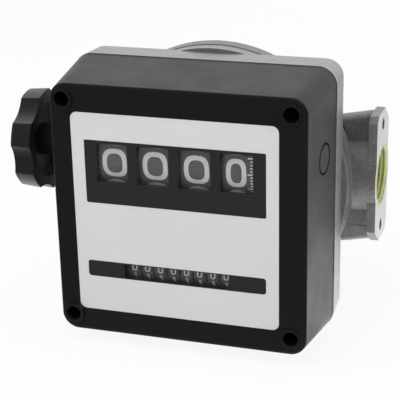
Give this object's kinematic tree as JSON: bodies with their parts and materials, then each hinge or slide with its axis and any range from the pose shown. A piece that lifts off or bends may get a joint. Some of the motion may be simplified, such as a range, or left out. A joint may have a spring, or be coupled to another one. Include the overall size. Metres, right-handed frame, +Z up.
{
  "type": "mechanical fuel flow meter",
  "caption": "Mechanical fuel meter with a black register housing, number wheels behind windows, a reset knob on the left and two threaded ports.",
  "frame": {"origin": "centre of the flat rear mounting face of the meter body", "axes": "+X along the ports towards the outlet, +Y out of the rear mounting face away from the dial, +Z up with the dial upright"},
  "size_m": [0.1814, 0.1409, 0.1504],
  "materials": {
    "housing_plastic": "satin moulded black",
    "knob_plastic": "satin moulded black",
    "dial_plate": "fine brushed silver",
    "mask_plastic": "matt black",
    "clear_pane": "clear",
    "steel": "zinc plated",
    "sheet_steel": "plated sheet",
    "brass": "turned",
    "cast_aluminium": "fine sand texture, machined faces",
    "rubber": "matt",
    "thread_insert": "translucent yellow green",
    "chamber_resin": "moulded",
    "disc_resin": "moulded",
    "gear_nylon": "moulded",
    "wheel_plastic": "matt dark grey with white figures"
  },
  "bodies": {
    "meter": {"counter_housing": "housing_plastic", "faceplate": "dial_plate", "number_mask": "mask_plastic", "total_mask": "mask_plastic", "dial_lenses": "clear_pane", "housing_screws": "steel", "side_plug": "housing_plastic", "reset_bush": "brass", "pinion_rod": "steel", "total_rod": "steel", "total_pinion_rod": "steel", "gear_studs": "steel", "register_plate_left": "sheet_steel", "register_plate_right": "sheet_steel", "register_screws": "steel", "register_base": "cast_aluminium", "housing_gasket": "rubber", "meter_body": "cast_aluminium", "body_o_ring": "rubber", "flange_screws": "steel", "port_inserts": "thread_insert", "chamber_front": "chamber_resin", "chamber_rear": "chamber_resin", "partition_plate": "steel", "shaft_bush": "brass"},
    "reset": {"reset_knob": "knob_plastic", "knob_screw": "steel", "reset_shaft": "steel"},
    "crank": {"drive_shaft": "steel", "drive_pinion": "gear_nylon"},
    "disc": {"nutating_disc": "disc_resin", "disc_spindle": "steel"},
    "reducer": {"reducer_gear": "gear_nylon"},
    "cross": {"cross_shaft": "steel"},
    "cluster": {"cluster_gear": "gear_nylon"},
    "idler": {"total_idler": "gear_nylon"},
    "number_drum_1": {"number_wheel_1": "wheel_plastic", "counter_drive_gear": "gear_nylon"},
    "number_drum_2": {"number_wheel_2": "wheel_plastic"},
    "number_drum_3": {"number_wheel_3": "wheel_plastic"},
    "number_drum_4": {"number_wheel_4": "wheel_plastic"},
    "number_carry_1": {"number_pinion_1": "gear_nylon"},
    "number_carry_2": {"number_pinion_2": "gear_nylon"},
    "number_carry_3": {"number_pinion_3": "gear_nylon"},
    "total_drum_1": {"total_wheel_1": "wheel_plastic", "total_drive_gear": "gear_nylon"},
    "total_drum_2": {"total_wheel_2": "wheel_plastic"},
    "total_drum_3": {"total_wheel_3": "wheel_plastic"},
    "total_drum_4": {"total_wheel_4": "wheel_plastic"},
    "total_drum_5": {"total_wheel_5": "wheel_plastic"},
    "total_drum_6": {"total_wheel_6": "wheel_plastic"},
    "total_drum_7": {"total_wheel_7": "wheel_plastic"},
    "total_drum_8": {"total_wheel_8": "wheel_plastic"},
    "total_carry_1": {"total_pinion_1": "gear_nylon"},
    "total_carry_2": {"total_pinion_2": "gear_nylon"},
    "total_carry_3": {"total_pinion_3": "gear_nylon"},
    "total_carry_4": {"total_pinion_4": "gear_nylon"},
    "total_carry_5": {"total_pinion_5": "gear_nylon"},
    "total_carry_6": {"total_pinion_6": "gear_nylon"},
    "total_carry_7": {"total_pinion_7": "gear_nylon"}
  },
  "joints": [
    {"name": "crank_turn", "type": "hinge", "parent": "meter", "child": "crank", "pos_m": [0, -0.074, 0], "axis": [0, 1, 0], "continuous": true},
    {"name": "disc_nutation", "type": "hinge", "parent": "crank", "child": "disc", "pos_m": [0, -0.0465, 0], "axis": [0, 0.9703, -0.2419], "continuous": true},
    {"name": "reset_turn", "type": "hinge", "parent": "meter", "child": "reset", "pos_m": [-0.08, -0.1079, 0.0269], "axis": [1, 0, 0], "range_deg": [0, 360]},
    {"name": "reducer_turn", "type": "hinge", "parent": "meter", "child": "reducer", "pos_m": [0, -0.0839, -0.024], "axis": [0, 1, 0], "continuous": true},
    {"name": "cross_turn", "type": "hinge", "parent": "meter", "child": "cross", "pos_m": [0, -0.0939, -0.024], "axis": [1, 0, 0], "continuous": true},
    {"name": "cluster_turn", "type": "hinge", "parent": "meter", "child": "cluster", "pos_m": [0.045, -0.10553, -0.00301], "axis": [1, 0, 0], "continuous": true},
    {"name": "idler_turn", "type": "hinge", "parent": "meter", "child": "idler", "pos_m": [0.049, -0.11437, -0.01386], "axis": [1, 0, 0], "continuous": true},
    {"name": "number_drum_1_turn", "type": "hinge", "parent": "meter", "child": "number_drum_1", "pos_m": [0.0305, -0.1079, 0.0269], "axis": [1, 0, 0], "continuous": true},
    {"name": "number_drum_2_turn", "type": "hinge", "parent": "meter", "child": "number_drum_2", "pos_m": [0.0084, -0.1079, 0.0269], "axis": [1, 0, 0], "continuous": true},
    {"name": "number_drum_3_turn", "type": "hinge", "parent": "meter", "child": "number_drum_3", "pos_m": [-0.0137, -0.1079, 0.0269], "axis": [1, 0, 0], "continuous": true},
    {"name": "number_drum_4_turn", "type": "hinge", "parent": "meter", "child": "number_drum_4", "pos_m": [-0.0358, -0.1079, 0.0269], "axis": [1, 0, 0], "continuous": true},
    {"name": "number_carry_1_turn", "type": "hinge", "parent": "meter", "child": "number_carry_1", "pos_m": [0.01945, -0.0939, 0.05115], "axis": [1, 0, 0], "continuous": true},
    {"name": "number_carry_2_turn", "type": "hinge", "parent": "meter", "child": "number_carry_2", "pos_m": [-0.00265, -0.0939, 0.05115], "axis": [1, 0, 0], "continuous": true},
    {"name": "number_carry_3_turn", "type": "hinge", "parent": "meter", "child": "number_carry_3", "pos_m": [-0.02475, -0.0939, 0.05115], "axis": [1, 0, 0], "continuous": true},
    {"name": "total_drum_1_turn", "type": "hinge", "parent": "meter", "child": "total_drum_1", "pos_m": [0.0227, -0.1239, -0.0328], "axis": [1, 0, 0], "continuous": true},
    {"name": "total_drum_2_turn", "type": "hinge", "parent": "meter", "child": "total_drum_2", "pos_m": [0.0155, -0.1239, -0.0328], "axis": [1, 0, 0], "continuous": true},
    {"name": "total_drum_3_turn", "type": "hinge", "parent": "meter", "child": "total_drum_3", "pos_m": [0.0083, -0.1239, -0.0328], "axis": [1, 0, 0], "continuous": true},
    {"name": "total_drum_4_turn", "type": "hinge", "parent": "meter", "child": "total_drum_4", "pos_m": [0.0011, -0.1239, -0.0328], "axis": [1, 0, 0], "continuous": true},
    {"name": "total_drum_5_turn", "type": "hinge", "parent": "meter", "child": "total_drum_5", "pos_m": [-0.0061, -0.1239, -0.0328], "axis": [1, 0, 0], "continuous": true},
    {"name": "total_drum_6_turn", "type": "hinge", "parent": "meter", "child": "total_drum_6", "pos_m": [-0.0133, -0.1239, -0.0328], "axis": [1, 0, 0], "continuous": true},
    {"name": "total_drum_7_turn", "type": "hinge", "parent": "meter", "child": "total_drum_7", "pos_m": [-0.0205, -0.1239, -0.0328], "axis": [1, 0, 0], "continuous": true},
    {"name": "total_drum_8_turn", "type": "hinge", "parent": "meter", "child": "total_drum_8", "pos_m": [-0.0277, -0.1239, -0.0328], "axis": [1, 0, 0], "continuous": true},
    {"name": "total_carry_1_turn", "type": "hinge", "parent": "meter", "child": "total_carry_1", "pos_m": [0.0191, -0.1127, -0.0328], "axis": [1, 0, 0], "continuous": true},
    {"name": "total_carry_2_turn", "type": "hinge", "parent": "meter", "child": "total_carry_2", "pos_m": [0.0119, -0.1127, -0.0328], "axis": [1, 0, 0], "continuous": true},
    {"name": "total_carry_3_turn", "type": "hinge", "parent": "meter", "child": "total_carry_3", "pos_m": [0.0047, -0.1127, -0.0328], "axis": [1, 0, 0], "continuous": true},
    {"name": "total_carry_4_turn", "type": "hinge", "parent": "meter", "child": "total_carry_4", "pos_m": [-0.0025, -0.1127, -0.0328], "axis": [1, 0, 0], "continuous": true},
    {"name": "total_carry_5_turn", "type": "hinge", "parent": "meter", "child": "total_carry_5", "pos_m": [-0.0097, -0.1127, -0.0328], "axis": [1, 0, 0], "continuous": true},
    {"name": "total_carry_6_turn", "type": "hinge", "parent": "meter", "child": "total_carry_6", "pos_m": [-0.0169, -0.1127, -0.0328], "axis": [1, 0, 0], "continuous": true},
    {"name": "total_carry_7_turn", "type": "hinge", "parent": "meter", "child": "total_carry_7", "pos_m": [-0.0241, -0.1127, -0.0328], "axis": [1, 0, 0], "continuous": true}
  ],
  "couplings": [
    {"joint": "disc_nutation", "follows": "crank_turn", "ratio": -1},
    {"joint": "reducer_turn", "follows": "crank_turn", "ratio": -0.2},
    {"joint": "cross_turn", "follows": "crank_turn", "ratio": 0.2},
    {"joint": "cluster_turn", "follows": "crank_turn", "ratio": -0.04},
    {"joint": "idler_turn", "follows": "crank_turn", "ratio": 0.0082759},
    {"joint": "number_drum_1_turn", "follows": "crank_turn", "ratio": 0.01},
    {"joint": "number_drum_2_turn", "follows": "crank_turn", "ratio": 0.001},
    {"joint": "number_drum_3_turn", "follows": "crank_turn", "ratio": 0.0001},
    {"joint": "number_drum_4_turn", "follows": "crank_turn", "ratio": 0.00001},
    {"joint": "number_carry_1_turn", "follows": "crank_turn", "ratio": -0.0025},
    {"joint": "number_carry_2_turn", "follows": "crank_turn", "ratio": -0.00025},
    {"joint": "number_carry_3_turn", "follows": "crank_turn", "ratio": -0.000025},
    {"joint": "total_drum_1_turn", "follows": "crank_turn", "ratio": -0.01},
    {"joint": "total_drum_2_turn", "follows": "crank_turn", "ratio": -0.001},
    {"joint": "total_drum_3_turn", "follows": "crank_turn", "ratio": -0.0001},
    {"joint": "total_drum_4_turn", "follows": "crank_turn", "ratio": -0.00001},
    {"joint": "total_drum_5_turn", "follows": "crank_turn", "ratio": -0.000001},
    {"joint": "total_drum_6_turn", "follows": "crank_turn", "ratio": -0.0000001},
    {"joint": "total_drum_7_turn", "follows": "crank_turn", "ratio": -0.00000001},
    {"joint": "total_drum_8_turn", "follows": "crank_turn", "ratio": -0.000000001},
    {"joint": "total_carry_1_turn", "follows": "crank_turn", "ratio": 0.0025},
    {"joint": "total_carry_2_turn", "follows": "crank_turn", "ratio": 0.00025},
    {"joint": "total_carry_3_turn", "follows": "crank_turn", "ratio": 0.000025},
    {"joint": "total_carry_4_turn", "follows": "crank_turn", "ratio": 0.0000025},
    {"joint": "total_carry_5_turn", "follows": "crank_turn", "ratio": 0.00000025},
    {"joint": "total_carry_6_turn", "follows": "crank_turn", "ratio": 0.000000025},
    {"joint": "total_carry_7_turn", "follows": "crank_turn", "ratio": 0.0000000025}
  ]
}
